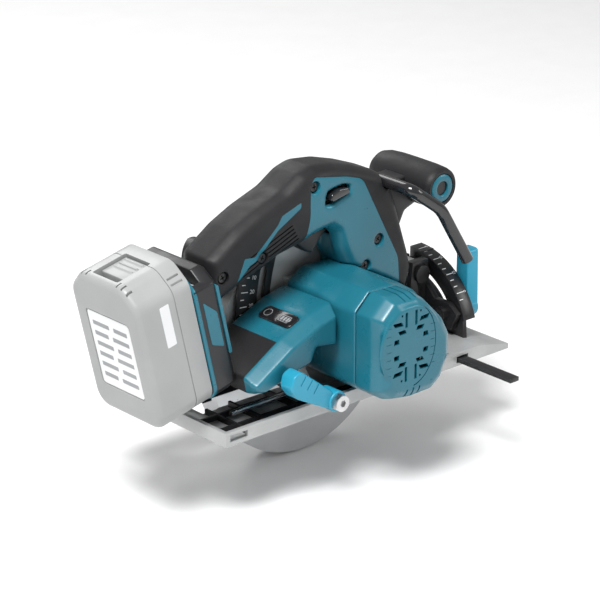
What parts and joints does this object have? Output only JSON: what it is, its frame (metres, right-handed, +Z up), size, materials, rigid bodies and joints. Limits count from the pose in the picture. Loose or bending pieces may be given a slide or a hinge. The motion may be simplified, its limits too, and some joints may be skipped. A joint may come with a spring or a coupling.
{
  "type": "circular saw",
  "caption": "Cordless circular saw, blade left and motor right, with slide-on battery, swinging lower guard, tilting base plate, rip fence and hook.",
  "frame": {"origin": "centre of the base plate's underside", "axes": "+X forward in the cutting direction, +Y towards the blade side, +Z up from the base plate"},
  "size_m": [0.352, 0.197, 0.2369],
  "materials": {
    "cast_alloy": "satin die-cast",
    "guard_alloy": "satin",
    "machined_steel": "machined",
    "spring_steel": "drawn wire",
    "blade_steel": "ground",
    "black_steel": "black coated, semi-gloss",
    "teal_plastic": "fine moulded texture",
    "lever_plastic": "fine moulded texture",
    "black_plastic": "moulded",
    "black_gloss": "glossy",
    "soft_grip": "soft overmould",
    "battery_plastic": "pale grey",
    "cell_wrap": "shrink wrap",
    "copper_winding": "enamelled copper and laminations",
    "brass_contact": "contact strip on a moulded block",
    "board": "circuit board",
    "clear_lens": "clear"
  },
  "bodies": {
    "saw_body": {"upper_guard": "cast_alloy", "dust_nozzle": "black_plastic", "guard_retainer": "machined_steel", "guard_spring": "spring_steel", "spindle_bearings": "machined_steel", "motor_bearings": "machined_steel", "stator": "copper_winding", "gear_housing": "cast_alloy", "motor_housing": "teal_plastic", "motor_end_cap": "teal_plastic", "controller_housing": "teal_plastic", "controller_board": "board", "display_panel": "black_gloss", "handle_right": "teal_plastic", "handle_left": "teal_plastic", "handle_overmould": "soft_grip", "grip_inlays": "teal_plastic", "housing_screws": "black_steel", "switch_unit": "black_plastic", "battery_mount": "black_plastic", "terminal_block": "brass_contact", "front_neck": "black_plastic", "front_grip": "soft_grip", "grip_end_caps": "teal_plastic", "depth_bolt": "machined_steel", "depth_pin": "black_steel", "lamp_lens": "clear_lens", "trigger_pin": "machined_steel"},
    "blade_unit": {"saw_blade": "blade_steel", "inner_flange": "machined_steel", "outer_flange": "machined_steel", "blade_bolt": "machined_steel", "spindle": "machined_steel", "drive_gear": "machined_steel"},
    "rotor_unit": {"rotor": "machined_steel", "pinion": "machined_steel", "cooling_fan": "black_plastic"},
    "guard_unit": {"lower_guard": "guard_alloy", "guard_lever": "black_plastic"},
    "trigger": {"trigger": "black_plastic"},
    "lock_off_lever": {"lock_off_lever": "black_gloss"},
    "shaft_lock": {"shaft_lock": "black_plastic"},
    "display_button": {"display_button": "black_gloss"},
    "hook": {"hook": "black_steel"},
    "depth_lever": {"depth_lever": "lever_plastic"},
    "battery_unit": {"battery_case": "battery_plastic", "battery_cells": "cell_wrap"},
    "battery_button": {"battery_button": "battery_plastic"},
    "tilt_frame": {"front_bracket": "black_steel", "depth_guide": "black_steel", "rear_bracket": "black_steel", "bevel_bolt": "black_steel"},
    "bevel_lever": {"bevel_lever": "lever_plastic"},
    "base_unit": {"base_plate": "cast_alloy", "bevel_pins": "machined_steel", "bevel_quadrant": "black_steel", "hex_wrench": "machined_steel"},
    "rip_fence": {"rip_fence": "black_steel"},
    "fence_screw": {"fence_screw": "black_steel"}
  },
  "joints": [
    {"name": "blade_spin", "type": "hinge", "parent": "saw_body", "child": "blade_unit", "pos_m": [-0.008, 0.0125, 0.0255], "axis": [0, 1, 0], "continuous": true},
    {"name": "rotor_spin", "type": "hinge", "parent": "saw_body", "child": "rotor_unit", "pos_m": [-0.008, -0.06, 0.056], "axis": [0, 1, 0], "continuous": true},
    {"name": "guard_swing", "type": "hinge", "parent": "saw_body", "child": "guard_unit", "pos_m": [-0.008, 0.0125, 0.0255], "axis": [0, 1, 0], "range_deg": [0, 140], "stiffness_Nm_per_rad": 0.12, "springref_deg": -68.75},
    {"name": "trigger_pull", "type": "hinge", "parent": "saw_body", "child": "trigger", "pos_m": [-0.004, -0.0175, 0.127], "axis": [0, 1, 0], "range_deg": [0, 11], "stiffness_Nm_per_rad": 0.5, "springref_deg": -17.19},
    {"name": "lock_off_press", "type": "hinge", "parent": "saw_body", "child": "lock_off_lever", "pos_m": [-0.001, -0.0175, 0.151], "axis": [0, -1, 0], "range_deg": [0, 10], "stiffness_Nm_per_rad": 0.1, "springref_deg": -17.19},
    {"name": "shaft_lock_press", "type": "slide", "parent": "saw_body", "child": "shaft_lock", "axis": [-1, 0, 0], "range_m": [0, 0.0028], "stiffness_N_per_m": 300, "springref_m": -0.004},
    {"name": "display_button_press", "type": "slide", "parent": "saw_body", "child": "display_button", "axis": [0.3919, 0, -0.92], "range_m": [0, 0.0004], "stiffness_N_per_m": 500, "springref_m": -0.0005},
    {"name": "hook_swing", "type": "hinge", "parent": "saw_body", "child": "hook", "pos_m": [0.042, -0.045, 0.148], "axis": [0, -1, 0], "range_deg": [0, 90]},
    {"name": "depth_lever_turn", "type": "hinge", "parent": "saw_body", "child": "depth_lever", "pos_m": [-0.0553, -0.082, 0.0181], "axis": [0, 1, 0], "range_deg": [0, 40]},
    {"name": "battery_slide", "type": "slide", "parent": "saw_body", "child": "battery_unit", "axis": [-0.225, 0, 0.9744], "range_m": [0, 0.085]},
    {"name": "battery_button_press", "type": "slide", "parent": "battery_unit", "child": "battery_button", "axis": [-0.9744, 0, -0.225], "range_m": [0, 0.004], "stiffness_N_per_m": 400, "springref_m": -0.004},
    {"name": "depth_tilt", "type": "hinge", "parent": "saw_body", "child": "tilt_frame", "pos_m": [0.1, 0, 0.056], "axis": [0, -1, 0], "range_deg": [0, 28]},
    {"name": "bevel_tilt", "type": "hinge", "parent": "tilt_frame", "child": "base_unit", "pos_m": [0, 0.0125, 0.005], "axis": [1, 0, 0], "range_deg": [0, 50]},
    {"name": "bevel_lever_turn", "type": "hinge", "parent": "tilt_frame", "child": "bevel_lever", "pos_m": [0.13, -0.0309, 0.02664], "axis": [1, 0, 0], "range_deg": [0, 60]},
    {"name": "fence_slide", "type": "slide", "parent": "base_unit", "child": "rip_fence", "axis": [0, 1, 0], "range_m": [0, 0.1]},
    {"name": "fence_screw_turn", "type": "hinge", "parent": "base_unit", "child": "fence_screw", "pos_m": [0.092, 0.058, 0.02], "axis": [0, 0, 1], "range_deg": [0, 180]}
  ],
  "couplings": [
    {"joint": "rotor_spin", "follows": "blade_spin", "ratio": -2.5882}
  ]
}
